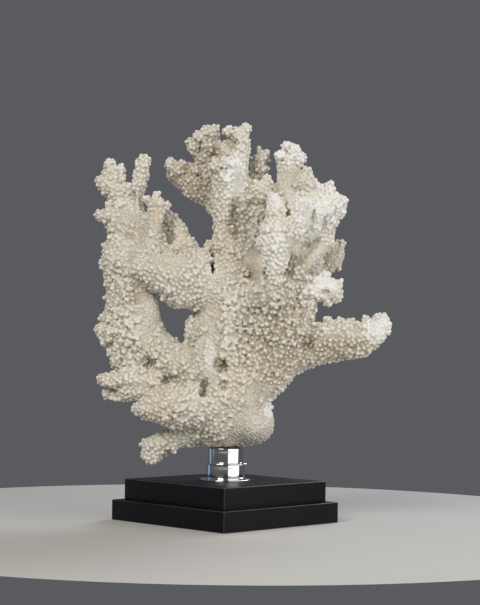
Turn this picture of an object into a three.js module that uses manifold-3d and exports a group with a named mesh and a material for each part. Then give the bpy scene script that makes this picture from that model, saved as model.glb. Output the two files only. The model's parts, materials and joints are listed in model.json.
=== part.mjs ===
// A branching coral on its stand: a two-tier square plinth, a turned two-part neck, and the
// coral, which is separate solids parted at its main forks. Millimetres, +Z up, origin at the
// middle of the plinth's underside, the plinth's sides along X and Y.
import * as THREE from 'three';
import { mergeVertices } from 'three/addons/utils/BufferGeometryUtils.js';
import Module from 'manifold-3d';

const wasm = await Module();
wasm.setup();

// ---- driving dimensions ----
const LOWER_SIDE = 152.4; // 6 in board
const LOWER_HEIGHT = 19.2;
const UPPER_SIDE = 135.6;
const UPPER_HEIGHT = 19.8;
const EDGE_CHAMFER = 0.6;
const PLINTH_TOP = LOWER_HEIGHT + UPPER_HEIGHT;

const NECK_LOWER_HEIGHT = 15.4;
const NECK_UPPER_HEIGHT = 15.2;
const NECK_LOWER_RADIUS = 18.6;
const NECK_UPPER_RADIUS = 17.2;
const NECK_FLARE = 0.8; // each tube widens a little toward its top
const LOWER_FLANGE_RADIUS = 24.5;
const UPPER_FLANGE_RADIUS = 22.5;
const FLANGE_THICKNESS = 1.4;
const FLANGE_STEP_RADIUS = 1.8; // the rolled ring where a tube meets its flange
const NECK_WALL = 3;
const NECK_SIDES = 28;

const GAP = 0.3; // clearance between neighbouring pieces
const CORAL_TURN = 45.4; // the coral's broad side faces a corner of the plinth
const CORAL_SEAT = PLINTH_TOP + NECK_LOWER_HEIGHT + NECK_UPPER_HEIGHT + GAP;

const LIMB_SIDES = 8;
const RINGS_PER_SPAN = 2;
const CAP_RINGS = 2;

// ---- materials ----
const blackSatin = new THREE.MeshStandardMaterial({ color: '#17181c', roughness: 0.38, metalness: 0 });
const chrome = new THREE.MeshStandardMaterial({ color: '#d9dbdd', roughness: 0.06, metalness: 1 });
const coralLime = new THREE.MeshStandardMaterial({ color: '#dcd6c8', roughness: 0.85, metalness: 0 });

// ---- solids ----
function toSolid(geometry) {
  geometry.deleteAttribute('normal');
  geometry.deleteAttribute('uv');
  const merged = mergeVertices(geometry, 1e-4);
  const mesh = new wasm.Mesh({
    numProp: 3,
    vertProperties: new Float32Array(merged.attributes.position.array),
    triVerts: new Uint32Array(merged.index.array),
  });
  return new wasm.Manifold(mesh);
}

function toGeometry(solid) {
  const { vertProperties, triVerts } = solid.getMesh();
  const geometry = new THREE.BufferGeometry();
  geometry.setAttribute('position', new THREE.BufferAttribute(vertProperties, 3));
  geometry.setIndex(new THREE.BufferAttribute(triVerts, 1));
  geometry.computeVertexNormals();
  return geometry;
}

function named(name, geometry, material) {
  const mesh = new THREE.Mesh(geometry, material);
  mesh.name = name;
  return mesh;
}

// ---- plinth: two square boards with broken edges ----
function board(side, height) {
  const half = side / 2 - EDGE_CHAMFER;
  const outline = new THREE.Shape();
  outline.moveTo(-half, -half);
  outline.lineTo(half, -half);
  outline.lineTo(half, half);
  outline.lineTo(-half, half);
  outline.closePath();
  const geometry = new THREE.ExtrudeGeometry(outline, {
    depth: height - 2 * EDGE_CHAMFER,
    bevelEnabled: true,
    bevelThickness: EDGE_CHAMFER,
    bevelSize: EDGE_CHAMFER,
    bevelSegments: 1,
  });
  return geometry.translate(0, 0, EDGE_CHAMFER);
}

// ---- neck: a spun tube that stands on a thin flange with a rolled ring at its foot ----
function neckPart(height, tubeRadius, flangeRadius) {
  const bore = tubeRadius - NECK_WALL;
  const rollTop = FLANGE_THICKNESS + 2 * FLANGE_STEP_RADIUS * 0.7;
  const profile = [
    [bore, 0],
    [flangeRadius - 0.5, 0],
    [flangeRadius, 0.5],
    [flangeRadius, FLANGE_THICKNESS - 0.4],
    [flangeRadius - 0.6, FLANGE_THICKNESS],
    [tubeRadius + FLANGE_STEP_RADIUS, FLANGE_THICKNESS],
    [tubeRadius + FLANGE_STEP_RADIUS * 0.9, rollTop - 0.7],
    [tubeRadius, rollTop],
    [tubeRadius, height * 0.55],
    [tubeRadius + NECK_FLARE, height],
    [bore, height],
    [bore, 0],
  ].map(([radius, z]) => new THREE.Vector2(radius, z));
  return new THREE.LatheGeometry(profile, NECK_SIDES).rotateX(Math.PI / 2);
}

// ---- coral ----
// A limb is a ball whose rings are carried along a smooth spine. A spine point is
// [x, y, z, half breadth, half depth]: x across the broad side, y toward the back, z up. The
// half depth lies along `face` and the half breadth across it and the spine. `tip` is the
// length of the rounded ends as a share of the end's half breadth.
function limb(spine, { face = [0, 1, 0], tip = 0.8 } = {}) {
  return (grow) => {
    const path = new THREE.CatmullRomCurve3(spine.map(([x, y, z]) => new THREE.Vector3(x, y, z)));
    const facing = new THREE.Vector3(...face).normalize();
    const spans = spine.length - 1;
    const bodyRings = spans * RINGS_PER_SPAN;
    const rings = bodyRings + 2 * CAP_RINGS;
    const ball = new THREE.SphereGeometry(1, LIMB_SIDES, rings);
    const position = ball.attributes.position;
    for (let i = 0; i < position.count; i += 1) {
      const polar = Math.acos(THREE.MathUtils.clamp(position.getY(i), -1, 1));
      const ring = Math.round((polar / Math.PI) * rings);
      const around = Math.atan2(position.getZ(i), position.getX(i));
      const along = THREE.MathUtils.clamp((ring - CAP_RINGS) / bodyRings, 0, 1);
      const [breadth, depth] = girthAt(spine, along * spans).map((half) => half + grow);
      const pastEnd = Math.max(CAP_RINGS - ring, ring - CAP_RINGS - bodyRings, 0) / CAP_RINGS;
      const endSign = ring < CAP_RINGS ? -1 : 1;
      const capReach = endSign * Math.sin((pastEnd * Math.PI) / 2) * breadth * tip;
      const shrink = Math.cos((pastEnd * Math.PI) / 2);
      const tangent = path.getTangent(along);
      const deep = facing.clone().addScaledVector(tangent, -facing.dot(tangent)).normalize();
      const broad = new THREE.Vector3().crossVectors(deep, tangent);
      const point = path.getPoint(along)
        .addScaledVector(tangent, capReach)
        .addScaledVector(broad, Math.cos(around) * breadth * shrink)
        .addScaledVector(deep, Math.sin(around) * depth * shrink);
      position.setXYZ(i, point.x, point.y, point.z);
    }
    return toSolid(ball);
  };
}

function girthAt(spine, place) {
  const start = Math.min(Math.floor(place), spine.length - 2);
  const blend = THREE.MathUtils.smoothstep(place - start, 0, 1);
  return [3, 4].map((k) => THREE.MathUtils.lerp(spine[start][k], spine[start + 1][k], blend));
}

// A knob is a round lump that ends or studs a limb.
function knob(x, y, z, radius) {
  return (grow) => toSolid(new THREE.IcosahedronGeometry(radius + grow, 1).translate(x, y, z));
}

// The pieces in growing order: the trunk first, then what forks from it.
const coralPieces = {
  coral_trunk: [
    limb([
      [-2, 0, 84, 38, 30],
      [-6, 0, 112, 46, 38],
      [-2, 0, 150, 40, 36],
      [2, 0, 190, 38, 32],
      [0, 0, 226, 24, 24],
    ], { tip: 0.5 }),
    limb([
      [8, 0, 96, 28, 28],
      [27, 2, 100, 23, 24],
    ]),
  ],
  coral_right_limb: [
    limb([
      [18, 0, 126, 28, 24],
      [44, -4, 152, 27, 24],
      [58, -6, 185, 27, 24],
      [61, 2, 222, 24, 18],
      [66, 12, 250, 18, 12],
    ]),
  ],
  coral_left_limb: [
    limb([
      [-20, 2, 140, 22, 24],
      [-58, 0, 152, 24, 22],
      [-86, -2, 172, 30, 21],
      [-94, -4, 205, 26, 19],
      [-99, -4, 240, 21, 16],
      [-98, -4, 276, 19, 12],
    ], { tip: 0.6 }),
    knob(-108, -6, 154, 12),
    knob(-113, -6, 178, 13),
  ],
  coral_saddle_arm: [
    limb([
      [-4, -6, 214, 19, 22],
      [-34, -14, 226, 27, 21],
      [-62, -18, 234, 22, 19],
      [-84, -18, 238, 13, 14],
    ]),
  ],
  coral_left_fan: [
    limb([
      [-42, 4, 226, 26, 13],
      [-57, 8, 252, 31, 12],
      [-64, 9, 272, 24, 10],
    ], { tip: 0.75 }),
  ],
  coral_left_stub: [
    limb([
      [-80, -12, 252, 10, 9],
      [-71, -14, 272, 8, 9],
      [-69, -14, 296, 10, 9],
    ]),
    knob(-79, -14, 303, 6),
    knob(-69, -15, 306, 6),
    knob(-60, -13, 298, 6.5),
  ],
  coral_left_paddle: [
    limb([
      [-97, -4, 288, 15, 10],
      [-107, -5, 308, 15, 9],
      [-114, -5, 322, 13, 8],
    ], { tip: 0.7 }),
    knob(-115, -5, 336, 6),
    knob(-121, -6, 319, 7),
  ],
  coral_left_finger: [
    limb([
      [-92, 2, 288, 10, 9],
      [-88, 4, 315, 8, 8],
      [-84, 4, 342, 7.5, 7.5],
    ]),
  ],
  coral_left_spur: [
    limb([
      [-98, -8, 284, 13, 11],
      [-112, -10, 288, 12, 10],
      [-121, -10, 288, 8, 8],
    ]),
    knob(-113, -8, 276, 6),
  ],
  coral_left_fork: [
    limb([
      [-62, -6, 134, 12, 14],
      [-80, -14, 133, 11, 12],
      [-100, -20, 133, 8, 9],
      [-115, -22, 132, 7, 8],
    ]),
    limb([
      [-80, -10, 125, 10, 10],
      [-97, -14, 119, 9, 9],
      [-110, -14, 117, 6, 6],
    ]),
  ],
  coral_low_fan: [
    limb([
      [-12, -14, 104, 24, 20],
      [-40, -28, 107, 20, 16],
      [-62, -34, 107, 17, 12],
      [-78, -36, 106, 10, 9],
    ]),
    knob(-83, -36, 106, 6),
  ],
  coral_low_finger: [
    limb([
      [-30, -6, 84, 13, 14],
      [-52, -12, 76, 12, 12],
      [-68, -14, 70, 12, 11],
      [-71, -15, 61, 11, 10],
    ]),
  ],
  coral_column: [
    limb([
      [0, -2, 226, 20, 20],
      [1, -2, 265, 18, 17],
      [4, 0, 310, 16, 15],
      [7, 3, 345, 13, 13],
      [8, 4, 368, 12, 12],
    ]),
    limb([
      [-2, -8, 288, 14, 12],
      [-5, -12, 318, 14, 11],
      [-7, -13, 337, 12, 9],
    ]),
    knob(15, 4, 376, 5),
  ],
  coral_side_knob: [
    limb([
      [-8, 8, 255, 9, 9],
      [-19, 12, 263, 7, 8],
    ]),
  ],
  coral_top_fan: [
    limb([
      [-6, 10, 308, 14, 11],
      [-18, 16, 338, 16, 10],
      [-24, 18, 362, 17, 9],
    ], { tip: 0.8 }),
    knob(-38, 18, 364, 6),
    knob(-17, 17, 371, 8),
  ],
  coral_slant_finger: [
    limb([
      [-4, 14, 296, 13, 12],
      [-24, 22, 315, 12, 11],
      [-42, 28, 330, 11, 10],
      [-54, 31, 338, 9, 9],
    ]),
  ],
  coral_middle_fork: [
    limb([
      [18, 0, 246, 16, 16],
      [27, 4, 285, 12, 12],
      [36, 8, 320, 8, 8],
    ]),
    knob(24, 8, 320, 7),
  ],
  coral_twin_lobe: [
    limb([
      [14, 14, 300, 9, 9],
      [24, 22, 328, 10, 8],
      [30, 25, 348, 9, 7],
    ]),
  ],
  coral_front_lobe: [
    limb([
      [40, -16, 206, 14, 16],
      [42, -26, 236, 14, 16],
      [47, -33, 266, 20, 16],
      [43, -30, 304, 8, 8],
    ]),
    limb([
      [52, -26, 256, 11, 12],
      [60, -30, 274, 10, 11],
      [63, -28, 302, 8, 8],
    ]),
  ],
  coral_right_fan: [
    limb([
      [64, 0, 236, 18, 14],
      [76, 6, 264, 22, 12],
      [87, 10, 290, 23, 11],
      [94, 12, 308, 17, 9],
    ], { tip: 0.7 }),
    knob(97, 12, 322, 6),
    knob(108, 10, 304, 7),
  ],
  coral_high_lobe: [
    limb([
      [58, 4, 280, 16, 13],
      [58, 8, 318, 15, 11],
      [58, 10, 350, 14, 10],
    ], { tip: 0.9 }),
    knob(70, 2, 325, 11),
  ],
  coral_paddle: [
    limb([
      [60, -6, 240, 14, 8],
      [77, -13, 252, 13, 6],
      [91, -16, 265, 9, 4.5],
    ], { face: [0.5, -0.6, -0.6] }),
  ],
  coral_right_stub: [
    limb([
      [66, -8, 222, 14, 14],
      [88, -12, 222, 13, 13],
      [103, -13, 221, 12, 12],
    ], { tip: 0.5 }),
    knob(87, -14, 229, 9),
  ],
  coral_right_arm: [
    limb([
      [62, -6, 162, 22, 18],
      [100, -14, 173, 21, 14],
      [125, -18, 175, 19, 13],
      [141, -20, 184, 14, 13],
    ]),
    knob(146, -22, 190, 9.5),
  ],
  coral_back_right_fan: [
    limb([
      [62, 16, 236, 13, 12],
      [88, 36, 252, 14, 9],
      [106, 44, 258, 14, 8],
    ], { tip: 0.5 }),
  ],
  coral_back_left_branch: [
    limb([
      [2, 18, 188, 18, 18],
      [-18, 42, 214, 15, 14],
      [-36, 55, 238, 13, 12],
      [-48, 60, 260, 10, 10],
    ]),
  ],
  coral_back_low_branch: [
    limb([
      [-2, 22, 112, 22, 20],
      [-14, 50, 122, 18, 16],
      [-26, 66, 138, 13, 12],
    ]),
  ],
  coral_back_right_branch: [
    limb([
      [16, 18, 140, 22, 20],
      [42, 46, 168, 18, 16],
      [56, 62, 200, 16, 14],
      [58, 68, 232, 12, 11],
    ]),
  ],
  coral_back_top_branch: [
    limb([
      [6, 14, 228, 16, 16],
      [8, 42, 258, 13, 13],
      [14, 58, 292, 10, 10],
    ]),
  ],
  coral_back_side_branch: [
    limb([
      [-52, 10, 152, 18, 18],
      [-74, 36, 156, 15, 14],
      [-88, 52, 170, 12, 12],
    ]),
  ],
};

// Pieces that spread over the neck end on the flat cut of the coral's underside; the others
// never reach down to it, or hang past it beside the neck.
const SEATED = ['coral_trunk', 'coral_right_limb', 'coral_low_fan', 'coral_back_low_branch'];

function joined(parts, grow) {
  return parts.map((make) => make(grow)).reduce((whole, part) => whole.add(part));
}

function underSeat() {
  const depth = 60;
  return toSolid(new THREE.BoxGeometry(400, 400, depth).translate(0, 0, CORAL_SEAT - depth / 2));
}

function growCoral() {
  const group = new THREE.Group();
  let earlier = null;
  for (const [name, parts] of Object.entries(coralPieces)) {
    let solid = joined(parts, 0);
    if (earlier) solid = solid.subtract(earlier);
    if (SEATED.includes(name)) solid = solid.subtract(underSeat());
    const grown = joined(parts, GAP);
    earlier = earlier ? earlier.add(grown) : grown;
    group.add(named(name, toGeometry(solid), coralLime));
  }
  group.rotation.z = THREE.MathUtils.degToRad(CORAL_TURN);
  return group;
}

// ---- assembly ----
const whole = new THREE.Group();

whole.add(named('plinth_lower', board(LOWER_SIDE, LOWER_HEIGHT), blackSatin));

const plinthUpper = named('plinth_upper', board(UPPER_SIDE, UPPER_HEIGHT), blackSatin);
plinthUpper.position.z = LOWER_HEIGHT;
whole.add(plinthUpper);

const lowerCup = neckPart(NECK_LOWER_HEIGHT, NECK_LOWER_RADIUS, LOWER_FLANGE_RADIUS);
const neckLower = named('neck_lower', lowerCup, chrome);
neckLower.position.z = PLINTH_TOP;
whole.add(neckLower);

const upperCup = neckPart(NECK_UPPER_HEIGHT, NECK_UPPER_RADIUS, UPPER_FLANGE_RADIUS);
const neckUpper = named('neck_upper', upperCup, chrome);
neckUpper.position.z = PLINTH_TOP + NECK_LOWER_HEIGHT;
whole.add(neckUpper);

whole.add(growCoral());

export default whole;
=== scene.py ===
import json
import math

import bmesh
import bpy
import numpy as np
import openvdb
from mathutils import Matrix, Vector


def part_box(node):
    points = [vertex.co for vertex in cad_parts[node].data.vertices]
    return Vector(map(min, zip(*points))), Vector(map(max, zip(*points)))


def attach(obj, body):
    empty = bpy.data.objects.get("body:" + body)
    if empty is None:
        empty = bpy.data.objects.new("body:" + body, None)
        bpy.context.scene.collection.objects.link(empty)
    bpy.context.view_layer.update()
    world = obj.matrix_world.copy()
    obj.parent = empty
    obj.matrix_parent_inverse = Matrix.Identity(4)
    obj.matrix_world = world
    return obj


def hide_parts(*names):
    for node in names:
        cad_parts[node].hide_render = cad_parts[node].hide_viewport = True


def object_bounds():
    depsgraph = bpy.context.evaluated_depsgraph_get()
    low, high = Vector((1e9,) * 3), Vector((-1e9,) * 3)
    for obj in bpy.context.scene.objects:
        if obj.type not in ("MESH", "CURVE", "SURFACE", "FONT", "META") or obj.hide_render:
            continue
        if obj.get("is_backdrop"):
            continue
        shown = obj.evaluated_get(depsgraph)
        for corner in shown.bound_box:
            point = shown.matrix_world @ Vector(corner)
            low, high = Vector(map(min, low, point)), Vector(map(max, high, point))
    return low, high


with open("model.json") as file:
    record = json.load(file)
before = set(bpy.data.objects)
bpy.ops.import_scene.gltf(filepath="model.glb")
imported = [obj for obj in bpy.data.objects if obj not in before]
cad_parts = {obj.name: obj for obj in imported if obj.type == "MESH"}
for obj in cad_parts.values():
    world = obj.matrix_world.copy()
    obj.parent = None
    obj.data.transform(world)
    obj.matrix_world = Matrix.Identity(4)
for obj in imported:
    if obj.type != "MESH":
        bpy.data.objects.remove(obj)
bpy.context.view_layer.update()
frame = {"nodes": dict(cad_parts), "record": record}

# ---- the view ----
# A fairly long lens stands just above the table, off the plinth's corner between +X and -Y,
# and looks a little upward. The coral's broad side is turned the same way.
CORAL_TURN = math.radians(45.4)
CAMERA_AZIMUTH = math.radians(45.42)
CAMERA_REACH = 1.5277
CAMERA_HEIGHT = 0.1604
CAMERA_YAW = math.radians(44.98)
CAMERA_TILT = math.radians(1.79)
CAMERA_ROLL = math.radians(0.76)
SENSOR_HEIGHT_MM = 24.0
FOCAL_LENGTH_MM = 63.471074


def to_row(points):
    """Turns points of the coral's frame (x across, y to the back, z up) into the row frame."""
    cos_turn, sin_turn = math.cos(CORAL_TURN), math.sin(CORAL_TURN)
    x, y, z = np.moveaxis(np.asarray(points), -1, 0)
    return np.stack([cos_turn * x - sin_turn * y, sin_turn * x + cos_turn * y, z], -1)


def to_coral(points):
    """The inverse of to_row."""
    cos_turn, sin_turn = math.cos(CORAL_TURN), math.sin(CORAL_TURN)
    x, y, z = np.moveaxis(np.asarray(points), -1, 0)
    return np.stack([cos_turn * x + sin_turn * y, -sin_turn * x + cos_turn * y, z], -1)


lens = bpy.data.cameras.new("view_lens")
lens.sensor_fit = "VERTICAL"
lens.sensor_height = SENSOR_HEIGHT_MM
lens.lens = FOCAL_LENGTH_MM
lens.clip_end = 50
camera = bpy.data.objects.new("view_camera", lens)
bpy.context.scene.collection.objects.link(camera)
forward = np.array([
    -math.sin(CAMERA_YAW) * math.cos(CAMERA_TILT),
    math.cos(CAMERA_YAW) * math.cos(CAMERA_TILT),
    math.sin(CAMERA_TILT),
])
level = np.array([math.cos(CAMERA_YAW), math.sin(CAMERA_YAW), 0.0])
upright = np.cross(level, forward)
stance = np.eye(4)
stance[:3, 0] = level * math.cos(CAMERA_ROLL) + upright * math.sin(CAMERA_ROLL)
stance[:3, 1] = upright * math.cos(CAMERA_ROLL) - level * math.sin(CAMERA_ROLL)
stance[:3, 2] = -forward
stance[:3, 3] = [
    CAMERA_REACH * math.sin(CAMERA_AZIMUTH),
    -CAMERA_REACH * math.cos(CAMERA_AZIMUTH),
    CAMERA_HEIGHT,
]
camera.matrix_world = Matrix(stance)
bpy.context.scene.camera = camera


# ---- the floor and the studio ----
# A round, matt, pale floor lies in an even, darker room. A wide, tall soft light stands close
# on the right and reaches below the floor, a smaller one hangs to the left and above, and two
# more stand behind. The lights show in the chrome but not as panels in the room.
FLOOR_RADIUS = 0.42
FLOOR_GREY = "#C4C2BE"
ROOM_GREY = "#5A5B5E"
ROOM_STRENGTH = 1.0


def linear(colour):
    """An sRGB hex colour as linear RGBA: each channel to the power 2.4 above a short foot."""
    channel = np.array([int(colour[i:i + 2], 16) for i in (1, 3, 5)]) / 255
    foot = channel / 12.92
    curve = ((channel + 0.055) / 1.055) ** 2.4
    return [*np.where(channel <= 0.04045, foot, curve).tolist(), 1.0]


def add(tree, kind, sockets=None, **settings):
    """Adds a node with its settings; each socket gets a value or a link from another's output."""
    made = tree.nodes.new("ShaderNode" + kind)
    for name, value in settings.items():
        setattr(made, name, value)
    for name, value in (sockets or {}).items():
        socket = made.inputs[name]
        if isinstance(value, bpy.types.NodeSocket):
            tree.links.new(value, socket)
        else:
            socket.default_value = value
    return made


def start_material(name):
    """A new material with its shader, and the tree that they are in."""
    material = bpy.data.materials.new(name)
    material.use_nodes = True
    tree = material.node_tree
    return material, tree, tree.nodes["Principled BSDF"]


def disc(name, radius, sides=96):
    """A flat face whose corners lie at equal angles round the origin."""
    angle = np.arange(sides) * 2 * math.pi / sides
    ring = np.stack([radius * np.cos(angle), radius * np.sin(angle), 0 * angle], -1)
    mesh = bpy.data.meshes.new(name)
    mesh.from_pydata(ring.tolist(), [], [list(range(sides))])
    return mesh


# Matt paint gives the floor one pale tone with no shine.
floor_paint, tree, shader = start_material("matt_floor_paint")
shader.inputs["Base Color"].default_value = linear(FLOOR_GREY)
shader.inputs["Roughness"].default_value = 0.8
floor = bpy.data.objects.new("floor", disc("floor", FLOOR_RADIUS))
floor.data.materials.append(floor_paint)
bpy.context.scene.collection.objects.link(floor)
floor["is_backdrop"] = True

room = bpy.data.worlds.new("room")
room.use_nodes = True
backdrop = room.node_tree.nodes["Background"]
backdrop.inputs["Color"].default_value = linear(ROOM_GREY)
backdrop.inputs["Strength"].default_value = ROOM_STRENGTH
bpy.context.scene.world = room
bpy.context.scene.view_settings.view_transform = "Standard"


def softbox(name, place, aim, width, height, power, colour):
    """A flat area light at a place in the coral's frame, in metres, turned to face its aim. Its
    sides are metres and its power is watts."""
    light = bpy.data.lights.new(name, "AREA")
    light.shape = "RECTANGLE"
    light.size = width
    light.size_y = height
    light.energy = power
    light.color = linear(colour)[:3]
    holder = bpy.data.objects.new(name, light)
    bpy.context.scene.collection.objects.link(holder)
    holder.visible_camera = False
    back = to_row(np.array(place)) - to_row(np.array(aim))
    back = back / np.linalg.norm(back)
    side = np.cross([0.0, 0.0, 1.0], back)
    side = side / np.linalg.norm(side)
    pose = np.eye(4)
    pose[:3, 0], pose[:3, 1], pose[:3, 2] = side, np.cross(back, side), back
    pose[:3, 3] = to_row(np.array(place))
    holder.matrix_world = Matrix(pose)


middle = (0.0, 0.0, 0.22)
softbox("right_softbox", (0.92, -0.72, 0.42), (0.0, 0.0, 0.42), 1.7, 1.6, 13, "#FFFEFB")
softbox("left_softbox", (-0.8, -1.3, 1.2), middle, 0.9, 0.9, 20, "#FFFBF2")
softbox("back_left_softbox", (-1.1, 0.55, 0.45), middle, 0.4, 1.5, 1.4, "#86B4DC")
softbox("back_right_softbox", (0.8, 1.2, 1.1), middle, 0.7, 0.7, 15, "#F4F7FF")


# ---- plinth ----
# Two square boards of painted wood, satin black, with crisp sanded edges painted a little lighter,
# partly for worn paint and partly as a painted highlight. Each is a flat-faced block whose edges
# are rounded by a small radius.
EDGE_RADIUS = 0.0008
SMUDGE_SCALE = 22.0  # per metre: smudges about 45 mm across


def board_mesh(name, low, high, radius=EDGE_RADIUS, round_steps=4, face_steps=8):
    """A block with rounded edges: a grid over each face of a cube is pushed out to the block's
    inner box and then by the radius along the direction from that inner box. The attribute
    `rubbed_edge_and_highlight` rises to 1 along the middle of each rounded edge. It lightens the
    paint there, partly for worn paint and partly as a painted highlight."""
    corner = np.linspace(0, 1, round_steps + 1)
    flat_marks = np.linspace(-0.5, 0.5, face_steps)[1:-1]
    marks = np.concatenate([corner * 0.5 - 1, flat_marks, 1 - corner[::-1] * 0.5])
    first, second = (g.ravel() for g in np.meshgrid(marks, marks, indexing="ij"))
    count = len(marks)
    points, quads = [], []
    cell = (np.arange(count - 1)[:, None] * count + np.arange(count - 1)).ravel()
    loop = np.stack([cell, cell + count, cell + count + 1, cell + 1], -1)
    for axis in range(3):
        for sign in (-1, 1):
            face = np.empty((count * count, 3))
            face[:, axis] = sign
            face[:, (axis + 1) % 3] = first
            face[:, (axis + 2) % 3] = second
            quads.append((loop if sign > 0 else loop[:, ::-1]) + len(points) * count * count)
            points.append(face)
    cube = np.concatenate(points)
    centre, half = (low + high) / 2, (high - low) / 2
    inner = half - radius
    flat = np.clip(cube * 2, -1, 1) * inner
    lean = np.sign(cube) * np.clip(np.abs(cube) * 2 - 1, 0, 1)
    rubbed_edge_and_highlight = np.sort(np.abs(lean), axis=1)[:, 1]
    bend = np.tan(lean * math.pi / 4)
    bend = bend / np.linalg.norm(bend, axis=1, keepdims=True)
    mesh = bpy.data.meshes.new(name)
    mesh.from_pydata((centre + flat + bend * radius).tolist(), [], np.concatenate(quads).tolist())
    layer = mesh.attributes.new("rubbed_edge_and_highlight", "FLOAT", "POINT")
    layer.data.foreach_set("value", rubbed_edge_and_highlight.astype(np.float32))
    return mesh


def closed(mesh):
    """Merges a mesh's doubled corners, which closes its seams, turns its faces outward and
    shades it smooth."""
    work = bmesh.new()
    work.from_mesh(mesh)
    bmesh.ops.remove_doubles(work, verts=work.verts, dist=1e-6)
    bmesh.ops.recalc_face_normals(work, faces=work.faces)
    work.to_mesh(mesh)
    work.free()
    mesh.polygons.foreach_set("use_smooth", np.ones(len(mesh.polygons), bool))
    return mesh


def place_piece(name, mesh, material, node):
    """Puts a finished mesh in the scene in place of its CAD node."""
    mesh.materials.append(material)
    piece = bpy.data.objects.new(name, mesh)
    bpy.context.scene.collection.objects.link(piece)
    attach(piece, "root")
    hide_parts(node)


def blend(tree, share, first, second):
    """The colour output of a node that mixes two colours or links by a share from 0 to 1."""
    made = tree.nodes.new("ShaderNodeMix")
    made.data_type = "RGBA"
    for socket, value in ((made.inputs[0], share), (made.inputs[6], first), (made.inputs[7], second)):
        if isinstance(value, bpy.types.NodeSocket):
            tree.links.new(value, socket)
        else:
            socket.default_value = value
    return made.outputs[2]


# Satin paint worn smooth on wood is nearly black, with a dull, uneven sheen. Its edges are painted
# greyer, partly for worn paint and partly as a painted highlight.
plinth_paint, tree, shader = start_material("satin_black_paint_on_wood")
shader.inputs["Specular IOR Level"].default_value = 0.2
coords = add(tree, "TexCoord")
smudge = add(
    tree, "TexNoise", {"Vector": coords.outputs["Object"], "Scale": SMUDGE_SCALE, "Detail": 5.0})
tint = add(tree, "ValToRGB", {"Fac": smudge.outputs["Fac"]})
tint.color_ramp.elements[0].position = 0.35
tint.color_ramp.elements[0].color = linear("#050507")
tint.color_ramp.elements[1].position = 0.75
tint.color_ramp.elements[1].color = linear("#0D0E11")
# Painted highlight: the rounded edges are lightened toward grey. This stands partly for light caught on
# them and partly for worn paint.
edge = add(tree, "Attribute", attribute_name="rubbed_edge_and_highlight")
edge_wear_and_highlight = add(tree, "MapRange", {"Value": edge.outputs["Fac"], "From Min": 0.15, "To Max": 0.75})
edge_lightening_share = add(
    tree, "Math", {0: edge_wear_and_highlight.outputs["Result"], 1: smudge.outputs["Fac"]}, operation="MULTIPLY")
paint = blend(tree, edge_lightening_share.outputs["Value"], tint.outputs["Color"], linear("#6A6A6C"))
tree.links.new(paint, shader.inputs["Base Color"])
gloss = add(tree, "MapRange", {"Value": smudge.outputs["Fac"], "To Min": 0.34, "To Max": 0.5})
tree.links.new(gloss.outputs["Result"], shader.inputs["Roughness"])

for board in ("plinth_lower", "plinth_upper"):
    low, high = (np.array(corner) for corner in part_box(board))
    mesh = closed(board_mesh(board, low, high))
    place_piece("painted_" + board, mesh, plinth_paint, board)


# ---- neck ----
# Two spun metal cups, chrome plated and polished, stacked. Each is one turned profile: a thin
# flange, a rolled ring above it, and a tube that flares slightly to its rim.
WALL = 0.0012
LIP_RADIUS = 0.0006  # the flange's rounded edge
HAZE_SCALE = 90.0  # per metre: patches of haze about 11 mm across
# Each tube's radius as a share of its flange's, its flare and its bead's radius.
TUBES = {"neck_lower": (0.745, 0.0002, 0.0008), "neck_upper": (0.75, 0.0004, 0.0003)}


def turned_mesh(name, profile, floor_z, sides=160):
    """Carries a profile of (radius, height) points round the upright axis in equal steps; the
    profile closes on itself."""
    radius, height = np.array(profile).T
    angle = np.arange(sides) * 2 * math.pi / sides
    x = np.outer(np.cos(angle), radius)
    y = np.outer(np.sin(angle), radius)
    z = np.broadcast_to(height + floor_z, x.shape)
    rows = len(profile)
    step = np.arange(sides)[:, None] * rows + np.arange(rows)
    ahead = np.roll(step, -1, axis=0)
    quads = np.stack([step, ahead, np.roll(ahead, -1, 1), np.roll(step, -1, 1)], -1).reshape(-1, 4)
    mesh = bpy.data.meshes.new(name)
    mesh.from_pydata(np.stack([x, y, z], -1).reshape(-1, 3).tolist(), [], quads.tolist())
    return mesh


def arc(centre_radius, centre_height, radius, start, end, steps=7):
    """Points on a circle's arc in the profile's plane, angles in degrees from outward."""
    angle = np.radians(np.linspace(start, end, steps))
    return [(centre_radius + radius * math.cos(a), centre_height + radius * math.sin(a)) for a in angle]


def cup_profile(tube, flange, height, flare, bead):
    """The turned section of one cup from its bore out over the thin flange, round the bead on
    it, and up the tube, which widens by `flare` toward its rim."""
    lip = LIP_RADIUS
    foot = 2 * lip + 2 * bead
    return [
        (tube - WALL, 0.0),
        *arc(flange - lip, lip, lip, -90, 90),
        (tube + 0.0008, 2 * lip + 0.0001),
        *arc(tube - bead * 0.2, 2 * lip + bead, bead, -60, 60),
        (tube, foot),
        (tube, foot + 0.0002),
        (tube + flare * 0.15, foot + (height - foot) * 0.4),
        (tube + flare * 0.5, foot + (height - foot) * 0.75),
        (tube + flare, height - 0.0008),
        *arc(tube + flare - 0.0005, height - 0.0005, 0.0005, 0, 90, 4),
        (tube + flare - WALL, height),
    ]


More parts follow.
